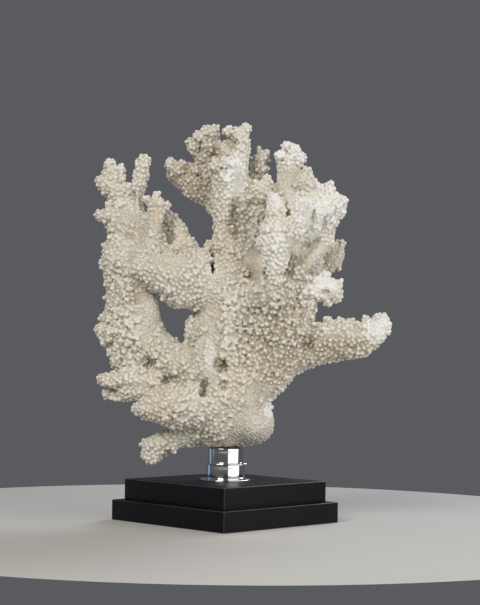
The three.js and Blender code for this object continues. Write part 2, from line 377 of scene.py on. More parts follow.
# Chrome plate on a polished base is a cool, hard mirror, dulled here and there by a thin film.
chrome, tree, shader = start_material("polished_chrome_plate")
shader.inputs["Metallic"].default_value = 1.0
coords = add(tree, "TexCoord")
haze = add(tree, "TexNoise", {"Vector": coords.outputs["Object"], "Scale": HAZE_SCALE, "Detail": 3.0})
film = add(tree, "MapRange", {"Value": haze.outputs["Fac"], "To Min": 0.03, "To Max": 0.1})
tree.links.new(film.outputs["Result"], shader.inputs["Roughness"])
cast = add(tree, "ValToRGB", {"Fac": haze.outputs["Fac"]})
cast.color_ramp.elements[0].color = linear("#D6D9DC")
cast.color_ramp.elements[1].color = linear("#E9EAEA")
tree.links.new(cast.outputs["Color"], shader.inputs["Base Color"])

for cup, (share, flare, bead) in TUBES.items():
    low, high = (np.array(corner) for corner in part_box(cup))
    flange = (high[0] - low[0]) / 2
    profile = cup_profile(flange * share, flange, high[2] - low[2], flare, bead)
    place_piece("plated_" + cup, closed(turned_mesh(cup, profile, low[2])), chrome, cup)


# ---- coral skeleton: its solid ----
# The coral is chalky white aragonite. Its limbs are joined and rounded as one solid, held as
# distances to the surface on an even grid in the coral's frame, in millimetres: less than 0 is
# inside. Each shape below is a step on that whole field, or on a window of it.
STEP = 0.95  # mm between grid points
MARGIN = 10.0  # mm of empty space round the limbs
BAND = 11  # grid steps to which a distance is known
FILLET = 2.2  # mm, how softly limbs run into each other at a fork
ROUNDING = 1.8  # mm, how far the limbs' facets are smoothed
SHRINK = 2.1  # mm taken off the limbs, which the lumps and knobs put back
TRUNK_GIVES = 2  # grid steps by which the limbs at the trunk's forks reach into it
FAINT = 1e-6  # a limb's pull on the field that counts as none
ZONE_MARGIN = 4.0  # mm round an ellipsoid in which it is still worked out
SWELLING_SOFTNESS = 6.0  # mm over which a swelling runs into its limb
WAVE_HEIGHT = 0.9  # mm
WAVE_SPACING = 21.0
RIPPLE_HEIGHT = 0.5
RIPPLE_SPACING = 9.0
rng = np.random.default_rng(20)

coral_nodes = [part["node"] for part in frame["record"]["subparts"] if part["material_slot"] == "coral"]


def limb_solid(name):
    """A CAD limb's corners in the coral's frame, doubled ones merged, and its triangles."""
    mesh = frame["nodes"][name].data
    corners = np.empty(len(mesh.vertices) * 3, np.float32)
    mesh.vertices.foreach_get("co", corners)
    mesh.calc_loop_triangles()
    triangles = np.empty(len(mesh.loop_triangles) * 3, np.int32)
    mesh.loop_triangles.foreach_get("vertices", triangles)
    corners = np.round(to_coral(corners.reshape(-1, 3)) * 1000, 3)
    merged, index = np.unique(corners, axis=0, return_inverse=True)
    return merged, index.reshape(-1)[triangles].reshape(-1, 3)


limbs = {name: limb_solid(name) for name in coral_nodes}
limb_low = {name: solid[0].min(0) for name, solid in limbs.items()}
limb_high = {name: solid[0].max(0) for name, solid in limbs.items()}
origin = np.min(list(limb_low.values()), axis=0) - MARGIN
shape = np.ceil((np.max(list(limb_high.values()), axis=0) + MARGIN - origin) / STEP).astype(int) + 1
weight = np.zeros(shape, np.float32)
nearest = np.full(shape, BAND, np.float32)
owner = np.zeros(shape, np.uint8)
for index, (corners, triangles) in enumerate(limbs.values()):
    places = ((corners - origin) / STEP).astype(np.float32)
    first = np.maximum(np.floor(places.min(0)).astype(int) - BAND, 0)
    last = np.minimum(np.ceil(places.max(0)).astype(int) + BAND, shape - 1)
    level_set = openvdb.FloatGrid.createLevelSetFromPolygons(
        places, triangles=triangles.astype(np.uint32), halfWidth=float(BAND))
    distance = np.empty(last - first + 1, np.float32)
    level_set.copyToArray(distance, ijk=tuple(int(i) for i in first))
    window = tuple(slice(a, b + 1) for a, b in zip(first, last))
    weight[window] += np.where(distance < BAND, np.exp(-distance * STEP / FILLET), 0)
    distance += TRUNK_GIVES * (index == 0)
    closer = distance < nearest[window]
    nearest[window][closer] = distance[closer]
    owner[window][closer] = index
field = np.where(weight > FAINT, -FILLET * np.log(np.maximum(weight, FAINT)), BAND * STEP)
del weight, nearest


def by_limb(groups):
    """Rows that stand under their limb's short name, as one list of (limb, ...) rows."""
    return [("coral_" + limb, *row) for limb, rows in groups for row in rows]


def spot(limb, place):
    """A place in the coral's frame as fractions of a limb's own box there."""
    return limb_low[limb] + (limb_high[limb] - limb_low[limb]) * np.array(place)


def eased(first, second, softness):
    """The smaller of two fields, less s*e*(1-e), where e eases from one to the other."""
    ease = np.clip(0.5 + 0.5 * (first - second) / softness, 0, 1)
    return first * (1 - ease) + second * ease - softness * ease * (1 - ease)


def front_skin(values, point):
    """The same point moved along y to the first place where the field is inside, if any is."""
    i, _, k = np.round((point - origin) / STEP).astype(int)
    inside = np.nonzero(values[i, :, k] < 0)[0]
    return np.array([point[0], origin[1] + inside[0] * STEP, point[2]]) if len(inside) else point


def shaped(values, zones, softness, cut=False):
    """Joins ellipsoids to a field, or cuts them out where they lie on its front skin. An
    ellipsoid's rough distance is its smallest radius times the scaled radius less 1."""
    for limb, place, radii in zones:
        centre, radii = spot(limb, place), np.array(radii, float)
        centre = front_skin(values, centre) if cut else centre
        reach = radii + ZONE_MARGIN + softness
        first = np.maximum(((centre - reach - origin) / STEP).astype(int), 0)
        last = np.minimum(((centre + reach - origin) / STEP).astype(int) + 2, shape)
        window = tuple(slice(a, b) for a, b in zip(first, last))
        axes = [(origin[i] + np.arange(first[i], last[i]) * STEP - centre[i]) / radii[i] for i in range(3)]
        scaled = np.sqrt(sum(part ** 2 for part in np.meshgrid(*axes, indexing="ij", sparse=True)))
        ball = ((scaled - 1) * radii.min()).astype(np.float32)
        if cut:
            values[window] = -eased(-values[window], ball, softness)
        else:
            values[window] = eased(values[window], ball, softness)


def blurred(values, spread):
    """Averages a field along each axis in turn with bell-shaped weights of that spread in mm."""
    reach = math.ceil(2.3 * spread / STEP)
    steps = np.arange(-reach, reach + 1)
    bell = np.exp(-0.5 * (steps * STEP / spread) ** 2)
    bell = (bell / bell.sum()).astype(np.float32)
    for axis in range(3):
        padding = [(reach, reach) if a == axis else (0, 0) for a in range(3)]
        padded = np.pad(values, padding, mode="edge")
        length = values.shape[axis]
        values = np.zeros(values.shape, np.float32)
        for i, share in enumerate(bell):
            values += share * padded[(slice(None),) * axis + (slice(i, i + length),)]
    return values


def redistanced(values):
    """The distance, within the band, to the surface on which a field is zero: that surface is
    drawn as a mesh and a new distance field is made from the mesh."""
    grid = openvdb.FloatGrid()
    grid.background = float(values.max())
    grid.copyFromArray(values.astype(np.float32))
    points, quads = grid.convertToQuads(isovalue=0.0)
    solid = openvdb.FloatGrid.createLevelSetFromPolygons(points, quads=quads, halfWidth=float(BAND))
    distance = np.empty(values.shape, np.float32)
    solid.copyToArray(distance)
    return distance * STEP


def drift(spacing):
    """A smooth random field of about -1 to 1: random values on a coarse lattice, eased between
    its points with the curve 3t^2 - 2t^3 along each axis."""
    lattice = rng.uniform(-1, 1, (shape * STEP / spacing).astype(int) + 3).astype(np.float32)
    for axis in range(3):
        place = np.arange(shape[axis]) * STEP / spacing
        index = place.astype(int)
        ease = place - index
        ease = (ease * ease * (3 - 2 * ease)).astype(np.float32)
        before, after = np.take(lattice, index, axis), np.take(lattice, index + 1, axis)
        lattice = before + (after - before) * ease.reshape([-1 if a == axis else 1 for a in range(3)])
    return lattice


# Where limbs grew together they swell over the fork. Under each limb stand places in fractions
# of its box, and radii in mm.
SWELLINGS = by_limb([
    ("trunk", [
        ((0.85, 0.34, 0.85), (18, 19, 18)), ((0.84, 0.34, 0.67), (17, 18, 18)),
        ((0.81, 0.37, 0.5), (17, 18, 17)), ((0.55, 0.45, 0.98), (16, 16, 15)),
        ((0.12, 0.47, 0.48), (14, 15, 14)),
    ]),
    ("right_arm", [((0.11, 0.5, 0.49), (13, 14, 13))]),
    ("low_fan", [((0.82, 0.77, 0.69), (12, 13, 12))]),
    ("left_limb", [((0.33, 0.4, 1.02), (13, 12, 13))]),
    ("left_stub", [((0.25, 0.91, 0.55), (9, 8, 11))]),
    ("saddle_arm", [((0.84, 0.47, 0.51), (14, 14, 14))]),
    ("trunk", [((0.23, 0.45, 0.66), (14, 14, 14))]),
    ("left_fork", [((0.45, 0.6, 0.98), (12, 12, 11))]),
    ("front_lobe", [((0.78, 0.89, 0.77), (14, 14, 16))]),
    ("left_fan", [((0.43, 0.27, 0.73), (12, 12, 12))]),
    ("right_limb", [((0.31, 0.45, 0.19), (13, 13, 11))]),
    ("low_finger", [((0.77, 0.55, 0.65), (12, 12, 10))]),
    ("trunk", [((0.8, 0.42, 0.13), (21, 30, 20))]),
    ("front_lobe", [((0.06, 0.85, 0.4), (8, 15, 14))]),
    ("top_fan", [((0.75, 0.42, 0.68), (7, 9, 11))]),
    ("front_lobe", [((0.32, 0.5, 0.93), (7, 9, 10))]),
    ("middle_fork", [((0.4, 0.69, 0.01), (13, 12, 14))]),
    ("left_limb", [((0.22, 0.48, 0.76), (13, 15, 14))]),
    ("right_fan", [((0.43, 0.28, 0.67), (20, 13, 16))]),
    ("slant_finger", [((0.43, 0.32, 0.58), (14, 9, 14))]),
    ("back_right_fan", [((0.82, 0.39, 0.69), (10, 9, 11))]),
    ("left_fan", [((0.52, 0.35, 0.85), (12, 10, 14)), ((0.68, 0.27, 0.67), (12, 12, 11))]),
    ("saddle_arm", [((0.68, 0.64, 0.9), (12, 16, 10)), ((0.75, 0.6, 0.8), (7, 14, 11))]),
    ("right_fan", [((0.57, 0.57, 0.84), (12, 10, 12))]),
    ("high_lobe", [((0.83, 0.45, 0.61), (9, 10, 12))]),
    ("back_right_fan", [((0.8, 0.56, 0.67), (10, 9, 15))]),
    ("front_lobe", [((0.86, 0.67, 0.85), (9, 13, 16))]),
    ("left_limb", [((0.17, 0.44, 0.75), (11, 18, 16)), ((0.55, 0.36, 0.44), (11, 14, 18))]),
    ("saddle_arm", [((0.49, 0.55, 0.19), (13, 14, 8))]),
    ("left_paddle", [((0.37, 0.5, 0.68), (12, 9, 14))]),
    ("left_fan", [((0.34, 0.02, 0.7), (7, 9, 9))]),
    ("slant_finger", [((0.28, 0.69, 0.86), (8, 9, 7)), ((0.3, 0.63, 0.65), (10, 9, 8))]),
    ("right_fan", [((0.74, 0.51, 0.76), (12, 10, 14))]),
    ("front_lobe", [((0.91, 0.85, 0.45), (11, 14, 19)), ((0.76, 0.76, 0.63), (9, 14, 15))]),
    ("column", [((0.51, 0.22, 0.69), (10, 9, 8))]),
    ("middle_fork", [((0.58, 0.5, 0.86), (12, 12, 12))]),
    ("front_lobe", [((0.82, 0.72, 0.44), (10, 13, 20))]),
    ("left_fan", [((0.39, 0.11, 0.61), (13, 8, 6))]),
    ("front_lobe", [((0.73, 0.58, 0.36), (8, 10, 20))]),
    ("trunk", [((1.09, 0.21, 0.83), (7, 10, 13))]),
    ("right_fan", [((0.54, 0.51, 0.47), (12, 12, 10)), ((0.43, 0.4, 0.39), (8, 14, 8))]),
    ("low_finger", [((0.65, 0.55, 0.8), (10, 14, 7))]),
    ("low_fan", [((0.23, 0.89, 0.82), (15, 14, 6)), ((0.47, 0.95, 0.92), (15, 14, 6))]),
    ("right_arm", [((0.58, 0.31, 0.43), (16, 14, 10))]),
    ("column", [((0.32, 0.27, 0.63), (9, 10, 13))]),
    ("slant_finger", [((0.16, 0.69, 0.8), (11, 10, 11))]),
])
shaped(field, SWELLINGS, SWELLING_SOFTNESS)
field = blurred(redistanced(field), ROUNDING) + SHRINK
field += WAVE_HEIGHT * drift(WAVE_SPACING) + RIPPLE_HEIGHT * drift(RIPPLE_SPACING)


# ---- coral skeleton: its tips and hollows ----
# Each limb ends in blunt digits, where the living coral grew fastest. Some fans carry raised
# blades, and there are hollows between them. Under each limb stand places in fractions of its
# box, and a digit's or a blade's radius or a hollow's three radii in mm.
DIGIT_SHRINK = 1.9  # mm taken off digits and blades, which the knobs put back
DIGIT_SOFTNESS = 2.0
BLADE_SOFTNESS = 1.5
BLADE_BEADS = 12  # round beads that overlap to make one blade
DIMPLE_SOFTNESS = 4.0
ROD_MARGIN = 0.8  # mm round a rod in which it is still worked out
TIPS = by_limb([
    ("left_paddle", [
        ((0.3, 0.5, 0.97), 4.3), ((0.06, 0.5, 0.68), 4.1), ((0.18, 0.4, 0.55), 4.4),
        ((0.53, 0.5, 0.86), 5.3), ((0.34, 0.45, 0.77), 6.8), ((0.61, 0.5, 0.74), 4.3),
        ((0.39, 0.4, 0.58), 7.1), ((0.53, 0.5, 0.48), 6.3),
    ]),
    ("left_finger", [
        ((0.1, -0.18, 0.52), 4.8), ((0.79, 0.5, 0.93), 5.6), ((0.68, 0.5, 0.86), 7.2),
        ((0.68, 0.5, 0.76), 7.5), ((0.61, 0.5, 0.66), 7.5), ((0.54, 0.5, 0.55), 7.7),
    ]),
    ("left_spur", [
        ((0.1, 0.5, 0.71), 4.1), ((0.23, 0.4, 0.53), 4.4), ((0.39, 0.5, 1.05), 4.7),
        ((0.57, 0.4, 1.01), 4.7), ((0.35, 0.4, 0.21), 3.4), ((0.3, 0.4, 0.71), 5.1),
    ]),
    ("left_stub", [
        ((0.3, 0.4, 0.89), 3.9), ((0.57, 0.5, 0.95), 4.7), ((0.86, 0.6, 0.82), 4.2),
        ((0.62, 0.4, 0.82), 6.8), ((0.48, 0.4, 0.84), 6.1),
    ]),
    ("left_fan", [
        ((0.43, 0.4, 0.98), 7.3), ((0.5, 0.4, 1.01), 5.1), ((0.63, 0.4, 0.84), 5.6),
        ((0.7, 0.4, 0.71), 4.1), ((0.82, 0.4, 0.65), 4.5), ((0.92, 0.4, 0.59), 4.3),
    ]),
    ("left_limb", [
        ((0.13, 0.48, 0.82), 7.7), ((0.11, 0.48, 0.73), 7.2), ((0.2, 0.48, 0.64), 6.8),
        ((0.18, 0.44, 0.54), 6.8), ((0.12, 0.4, 0.41), 7.6), ((0.07, 0.4, 0.34), 7.2),
        ((0.12, 0.4, 0.28), 6.7), ((0.25, 0.36, 0.15), 7.2),
    ]),
    ("left_fork", [
        ((0.06, 0.38, 0.71), 6.2), ((0.21, 0.44, 0.77), 7.1), ((0.39, 0.49, 0.78), 7.6),
        ((0.12, 0.55, 0.29), 5.4), ((0.27, 0.6, 0.25), 5.8), ((0.43, 0.6, 0.32), 6.3),
    ]),
    ("low_fan", [((0.08, 0.35, 0.54), 5.7), ((0.17, 0.35, 0.38), 5.3)]),
    ("low_finger", [
        ((0.1, 0.5, 0.49), 5.4), ((0.14, 0.5, 0.28), 5.8), ((0.18, 0.5, 0.1), 4.9),
        ((0.32, 0.5, 0.21), 5.8), ((0.41, 0.5, 0.45), 8.1), ((0.61, 0.5, 0.56), 7.6),
    ]),
    ("slant_finger", [
        ((0.05, 0.5, 0.99), 4.3), ((0.24, 0.5, 0.96), 3.6), ((0.36, 0.5, 0.92), 3.1),
        ((0.17, 0.5, 0.81), 8.2), ((0.33, 0.5, 0.67), 10.0), ((0.12, 0.55, 0.88), 7.8),
        ((0.23, 0.5, 0.9), 6.9),
    ]),
    ("top_fan", [
        ((0.05, 0.5, 0.82), 3.1), ((0.23, 0.5, 0.89), 4.7), ((0.42, 0.5, 0.96), 3.6),
        ((0.59, 0.5, 0.98), 4.0), ((0.53, 0.5, 0.92), 7.3), ((0.32, 0.5, 0.86), 6.6),
        ((0.44, 0.2, 0.75), 4.8), ((0.23, 0.5, 0.73), 6.9), ((0.31, 0.5, 0.46), 3.8),
        ((0.39, 0.4, 0.61), 7.7),
    ]),
    ("column", [
        ((0.4, 0.57, 0.95), 3.6), ((0.53, 0.67, 0.96), 3.4), ((0.66, 0.67, 0.96), 3.6),
        ((0.88, 0.62, 0.97), 3.9), ((0.78, 0.62, 0.94), 6.2), ((0.81, 0.62, 0.88), 6.2),
        ((0.53, 0.62, 0.94), 5.7), ((0.93, 0.62, 0.88), 4.3), ((0.15, 0.07, 0.71), 7.1),
        ((0.36, 0.0, 0.73), 6.1), ((0.52, 0.05, 0.72), 5.4),
    ]),
    ("twin_lobe", [
        ((0.69, 0.5, 1.03), 4.0), ((0.87, 0.5, 0.98), 3.6), ((0.48, 0.5, 0.91), 3.3),
        ((0.85, 0.5, 0.75), 4.8), ((0.76, 0.5, 0.92), 7.5), ((0.73, 0.5, 0.75), 8.0),
    ]),
    ("middle_fork", [
        ((0.19, 0.31, 0.92), 3.7), ((0.47, 0.37, 0.95), 3.7), ((0.67, 0.5, 0.98), 3.2),
        ((0.83, 0.63, 1.01), 3.6), ((0.89, 0.56, 0.92), 3.4), ((0.77, 0.59, 0.98), 5.6),
    ]),
    ("high_lobe", [
        ((0.31, 0.5, 0.97), 5.4), ((0.15, 0.4, 0.87), 5.0), ((0.52, 0.5, 0.93), 6.3),
        ((0.66, 0.5, 0.85), 5.4), ((0.84, 0.5, 0.71), 5.9),
    ]),
    ("right_fan", [
        ((0.74, 0.5, 0.96), 4.1), ((0.59, 0.4, 0.91), 4.1), ((0.91, 0.5, 0.79), 5.1),
        ((0.92, 0.4, 0.68), 3.9), ((0.73, 0.51, 0.59), 7.2),
    ]),
    ("back_right_fan", [
        ((0.95, 0.5, 0.95), 4.5), ((0.86, 0.5, 0.94), 4.4), ((0.93, 0.5, 0.71), 4.9),
        ((0.9, 0.5, 0.83), 6.1), ((0.92, 0.5, 0.58), 3.8), ((0.91, 0.5, 0.43), 3.7),
    ]),
    ("right_stub", [
        ((0.66, 0.41, 0.89), 4.7), ((0.96, 0.56, 0.7), 3.9), ((0.97, 0.56, 0.38), 4.1),
        ((0.9, 0.48, 0.08), 4.2), ((0.84, 0.48, 0.52), 7.9), ((0.86, 0.48, 0.22), 6.9),
        ((0.69, 0.48, 0.0), 3.7),
    ]),
    ("right_arm", [
        ((0.34, 0.6, 0.87), 4.9), ((0.46, 0.6, 0.83), 4.9), ((0.59, 0.6, 0.81), 5.4),
        ((0.74, 0.5, 0.88), 5.8), ((0.89, 0.45, 0.87), 8.5), ((0.91, 0.35, 0.74), 7.6),
    ]),
    ("front_lobe", [
        ((0.77, 0.54, 0.92), 6.7), ((0.98, 0.63, 0.93), 6.2), ((0.85, 0.41, 0.77), 8.8),
        ((0.21, 0.41, 0.71), 7.8), ((0.4, 0.32, 0.65), 8.3), ((0.16, 0.37, 0.61), 7.5),
        ((0.33, 0.32, 0.55), 8.0), ((0.5, 0.32, 0.57), 7.5), ((0.26, 0.37, 0.46), 7.0),
        ((0.73, 0.37, 0.56), 9.0),
    ]),
    ("right_fan", [
        ((0.61, 0.68, 0.9), 6.7), ((0.71, 0.57, 0.9), 6.2), ((0.82, 0.51, 0.78), 6.7),
        ((0.84, 0.51, 0.71), 6.4), ((0.48, 0.63, 0.95), 6.4), ((0.51, 0.4, 0.78), 7.2),
        ((0.67, 0.45, 0.73), 7.2),
    ]),
])
BLADES = by_limb([
    ("paddle", [((0.92, 0.34, 0.85), (0.33, -0.14, 0.02), 7.0)]),
    ("left_stub", [((0.54, 0.56, 0.73), (0.5, 0.56, 0.37), 4.2)]),
    ("column", [((0.21, 0.32, 0.58), (0.32, 0.27, 0.21), 6.8)]),
])
DIMPLES = by_limb([
    ("right_arm", [((0.13, 0.31, 0.45), (8, 9, 11)), ((0.58, 0.12, 0.45), (13, 4, 5))]),
    ("right_fan", [((0.2, -0.3, 0.13), (13, 4, 14))]),
    ("trunk", [((-0.04, 0.24, 0.38), (8, 8, 6))]),
    ("left_limb", [((0.56, 0.15, 0.15), (8, 7, 7))]),
    ("column", [((0.52, 0.22, 0.87), (7, 10, 8))]),
    ("left_limb", [
        ((0.04, 0.44, 0.54), (9, 50, 19)), ((0.06, 0.44, 0.9), (10, 50, 6)),
        ((0.09, 0.4, 0.17), (10, 50, 10)),
    ]),
    ("trunk", [((1.08, 0.45, 0.26), (10, 50, 4)), ((0.46, 0.03, 0.46), (8, 4, 7))]),
    ("low_fan", [((0.74, 0.29, 1.2), (7, 4, 6))]),
    ("right_fan", [
        ((0.48, 0.28, 0.59), (3, 4, 11)), ((0.64, 0.34, 0.57), (3, 3, 12)),
        ((0.94, 0.45, 0.51), (8, 50, 7)),
    ]),
    ("left_paddle", [((0.22, 0.5, 0.39), (5, 50, 3))]),
    ("top_fan", [((0.24, 0.19, 0.49), (2, 50, 4)), ((0.34, 0.19, 0.4), (3, 50, 3))]),
    ("saddle_arm", [((0.53, 0.64, -0.34), (5, 50, 13))]),
    ("column", [((0.66, 0.12, 0.39), (8, 7, 22))]),
    ("left_fan", [((0.44, -0.14, 0.83), (8, 5, 14))]),
    ("front_lobe", [((0.21, 0.54, 0.34), (3, 10, 13))]),
])
GAPS = by_limb([
    ("front_lobe", [((0.64, 0.85, 0.84), (3, 70, 5))]),
    ("saddle_arm", [((0.83, 0.76, 0.84), (3, 60, 9)), ((0.84, 0.76, 0.68), (3, 60, 5))]),
])


def budded(values, foot, tip, radius, softness):
    """Joins round-ended rods to a field: at each grid point near a rod the smaller of the field
    and the distance to the rod's middle line less its radius is taken, eased over `softness`."""
    base = np.round((foot - origin) / STEP).astype(int)
    longest = np.linalg.norm(tip - foot, axis=1).max()
    reach = math.ceil((radius.max() + longest + ROD_MARGIN) / STEP)
    line = (tip - foot).astype(np.float32)
    length = (line ** 2).sum(1) + 1e-9
    corner = (origin + base * STEP - foot).astype(np.float32)
    strides = np.array([shape[1] * shape[2], shape[2], 1])
    base = np.clip(base, reach, shape - 1 - reach) @ strides
    flat = values.reshape(-1)
    moves = np.array([m for m in np.ndindex(*[2 * reach + 1] * 3)]) - reach
    moves = moves[np.linalg.norm(moves, axis=1) <= reach + 0.5]
    for move, stride in zip((moves * STEP).astype(np.float32), moves @ strides):
        offset = corner + move
        along = np.clip((offset * line).sum(1) / length, 0, 1)
        offset = offset - along[:, None] * line
        near = np.sqrt((offset * offset).sum(1)) - radius
        flat[base + stride] = eased(flat[base + stride], near, softness)


shaped(field, DIMPLES, DIMPLE_SOFTNESS, cut=True)
digits = [(limb, place, [radius - DIGIT_SHRINK] * 3) for limb, place, radius in TIPS]
shaped(field, digits, DIGIT_SOFTNESS)
for limb, start, end, radius in BLADES:
    foot, tip = spot(limb, start), spot(limb, end)
    beads = [foot + (tip - foot) * share for share in np.linspace(0, 1, BLADE_BEADS)]
    low, size = limb_low[limb], limb_high[limb] - limb_low[limb]
    chain = [(limb, (bead - low) / size, [radius - DIGIT_SHRINK] * 3) for bead in beads]
    shaped(field, chain, BLADE_SOFTNESS)


# ---- coral skeleton: its lumps and knobs ----
# Round knobs of 2 to 6 mm, one for each polyp, crowd on lumps of 8 to 11 mm. They have worn away
# or never grew in some places, are finer in others, and borers left a few pits. Under each limb
# stand places in fractions of its box, and radii in mm.
LUMP_SPACING = 8.6  # mm, at least, from one lump to the next
LUMP_RADII = (3.9, 5.4)
LUMP_RISE = (0.2, 1.2)  # how far lumps stand out
LUMP_SOFTNESS = 1.8
# For each size of knob: the least spacing, the range of radii, how far the round end's middle
# stands out of the skin, by how much that varies, and the softness of the join, in mm.
BIG_KNOBS = (5.8, (2.3, 3.2), 0.4, 0.3, 0.9)
KNOBS = (3.3, (1.35, 2.3), 0.1, 0.5, 0.6)
FINE_KNOBS = (2.2, (1.0, 1.4), 0.0, 0.25, 0.4)
KNOB_ROOT = 1.2  # mm from a knob's round end back to its root
KNOB_LEAN = 0.1  # how far knobs lean from straight out, as a share
SHELTER_REACH = 7.5  # mm round a point in which the coral's bulk is felt
PATCH_SPACING = 26.0
BACK_START = 16  # mm behind the coral's middle, where the back's own patches begin
BACK_FADE = 12
PIT_SOFTNESS = 2.5
GAP_SOFTNESS = 0.6
GRIT = 0.12  # mm, grains too small for knobs
SEAT_REACH = 44.0  # mm round the neck's axis in which the coral is cut flat
OUT_OF_REACH = -99  # mm, deeper than any part of the coral
WORN = by_limb([
    ("left_limb", [
        ((0.32, 0.15, 0.99), (10, 16, 12)), ((0.49, 0.23, 0.85), (9, 16, 9)),
        ((0.38, 0.19, 0.77), (5, 14, 8)),
    ]),
    ("left_stub", [((0.55, 0.26, 0.54), (5, 12, 17))]),
    ("left_limb", [
        ((0.49, 0.27, 0.55), (8, 20, 9)), ((0.6, 0.32, 0.44), (8, 20, 13)),
        ((0.75, 0.32, 0.31), (8, 20, 11)),
    ]),
    ("trunk", [
        ((0.4, 0.05, 0.53), (8, 14, 16)), ((0.37, 0.05, 0.4), (8, 14, 6)),
        ((0.29, 0.05, 0.37), (7, 14, 10)), ((0.87, 0.24, 0.32), (17, 26, 9)),
        ((0.81, 0.24, 0.23), (12, 26, 6)), ((0.85, 0.34, 0.11), (29, 60, 25)),
        ((0.51, 0.18, 0.03), (26, 40, 6)), ((0.43, 0.03, 0.46), (7, 12, 6)),
    ]),
    ("low_fan", [((0.81, 0.29, 0.73), (2, 14, 11)), ((0.88, 0.35, 0.21), (6, 14, 6))]),
    ("front_lobe", [((-0.03, 0.54, 0.41), (11, 32, 20))]),
    ("column", [((0.73, 0.12, 0.64), (9, 14, 28))]),
    ("right_arm", [((0.85, 0.12, 0.77), (11, 16, 11))]),
    ("right_stub", [((0.74, 0.11, 0.36), (9, 10, 9)), ((0.52, 0.11, 0.53), (8, 10, 8))]),
    ("paddle", [((0.63, 0.07, 0.47), (17, 12, 19))]),
    ("front_lobe", [((0.32, 0.32, 0.92), (8, 12, 11)), ((0.76, 0.28, 0.55), (8, 12, 12))]),
])
FINE = by_limb([
    ("right_fan", [((0.46, 0.11, 0.71), (22, 26, 25))]),
    ("trunk", [((0.85, 0.34, 0.11), (29, 60, 25)), ((0.51, 0.18, 0.03), (26, 40, 6))]),
    ("front_lobe", [((0.39, 0.28, 0.91), (10, 20, 13))]),
    ("trunk", [((0.21, 0.16, 0.56), (19, 26, 14))]),
    ("left_limb", [((0.45, 0.23, 0.94), (23, 20, 22))]),
    ("trunk", [((0.73, 0.24, 0.18), (30, 40, 30))]),
    ("left_fan", [((0.47, 0.19, 0.61), (32, 20, 21))]),
    ("high_lobe", [((0.42, 0.17, 0.61), (18, 22, 20))]),
    ("back_right_fan", [((0.78, 0.28, 0.68), (17, 20, 19))]),
    ("left_limb", [((0.55, 0.36, 0.4), (16, 26, 36))]),
    ("trunk", [((0.38, 0.11, 0.74), (10, 24, 42))]),
    ("saddle_arm", [((0.39, 0.35, 0.86), (24, 20, 13))]),
])
BOLD = by_limb([
    ("trunk", [((0.94, 0.16, 0.76), (42, 34, 42)), ((0.67, 0.05, 0.63), (29, 20, 37))]),
    ("left_limb", [((0.29, 0.19, 0.26), (27, 30, 36)), ((0.24, 0.19, 0.59), (16, 26, 27))]),
    ("low_fan", [((0.35, 0.17, 0.5), (24, 20, 13))]),
])
LUMPY = by_limb([
    ("left_limb", [((0.27, 0.19, 0.32), (29, 34, 42))]),
    ("left_paddle", [((0.36, 0.3, 0.72), (22, 20, 22))]),
    ("left_finger", [((0.75, -0.06, 0.76), (10, 20, 22))]),
    ("top_fan", [((0.32, 0.11, 0.75), (26, 26, 26))]),
    ("high_lobe", [((0.47, 0.17, 0.77), (25, 26, 29))]),
    ("right_fan", [((0.67, 0.4, 0.79), (25, 26, 27))]),
    ("slant_finger", [((0.24, 0.14, 0.76), (26, 26, 26))]),
    ("low_finger", [((0.32, 0.49, 0.35), (27, 26, 18))]),
    ("left_fork", [((0.27, 0.44, 0.51), (25, 26, 16))]),
    ("column", [((0.33, 0.22, 0.37), (11, 20, 35))]),
])
PITS = by_limb([
    ("trunk", [((0.5, 0.05, 0.46), (9, 5, 8))]),
    ("low_fan", [((0.86, 0.29, 0.98), (6, 9, 10))]),
    ("trunk", [((0.5, 0.05, 0.35), (5, 5, 6))]),
    ("right_stub", [((0.66, 0.11, 0.26), (5, 4, 5))]),
])


def within(points, zones):
    """How far points lie inside any of the zones, from 0 outside to 1: each zone is an
    ellipsoid, full up to 0.6 of its radii and fading to nothing at 1.15."""
    share = np.zeros(len(points), np.float32)
    for limb, place, radii in zones:
        reach = np.linalg.norm((points - spot(limb, place)) / np.array(radii), axis=1)
        fade = np.clip((1.15 - reach) / 0.55, 0, 1)
        share = np.maximum(share, fade * fade * (3 - 2 * fade))
    return share


def sampled(values, points):
    """Reads a grid field at points in the coral's frame, in proportion to the eight grid points
    round each."""
    place = (points - origin) / STEP
    base = np.clip(place.astype(int), 0, shape - 2)
    part = (place - base).astype(np.float32)
    base = base @ np.array([shape[1] * shape[2], shape[2], 1])
    flat = values.reshape(-1)
    total = 0
    for corner in np.ndindex(2, 2, 2):
        share = np.prod(np.where(corner, part, 1 - part), axis=1)
        total = total + share * flat[base + corner @ np.array([shape[1] * shape[2], shape[2], 1])]
    return total


def on_surface(values):
    """Points of the surface, one for each grid point within a step of it, and the outward
    directions there, from the field's differences across two steps."""
    inner = values[1:-1, 1:-1, 1:-1]
    index = np.stack(np.nonzero(np.abs(inner) < 0.6 * STEP), -1) + 1
    slope = np.empty(index.shape, np.float32)
    for axis in range(3):
        move = np.eye(3, dtype=int)[axis]
        slope[:, axis] = values[tuple((index + move).T)] - values[tuple((index - move).T)]
    size = np.linalg.norm(slope, axis=1, keepdims=True) + 1e-9
    outward = slope / size
    height = values[tuple(index.T)][:, None] / (size / (2 * STEP))
    return origin + index * STEP - outward * height, outward


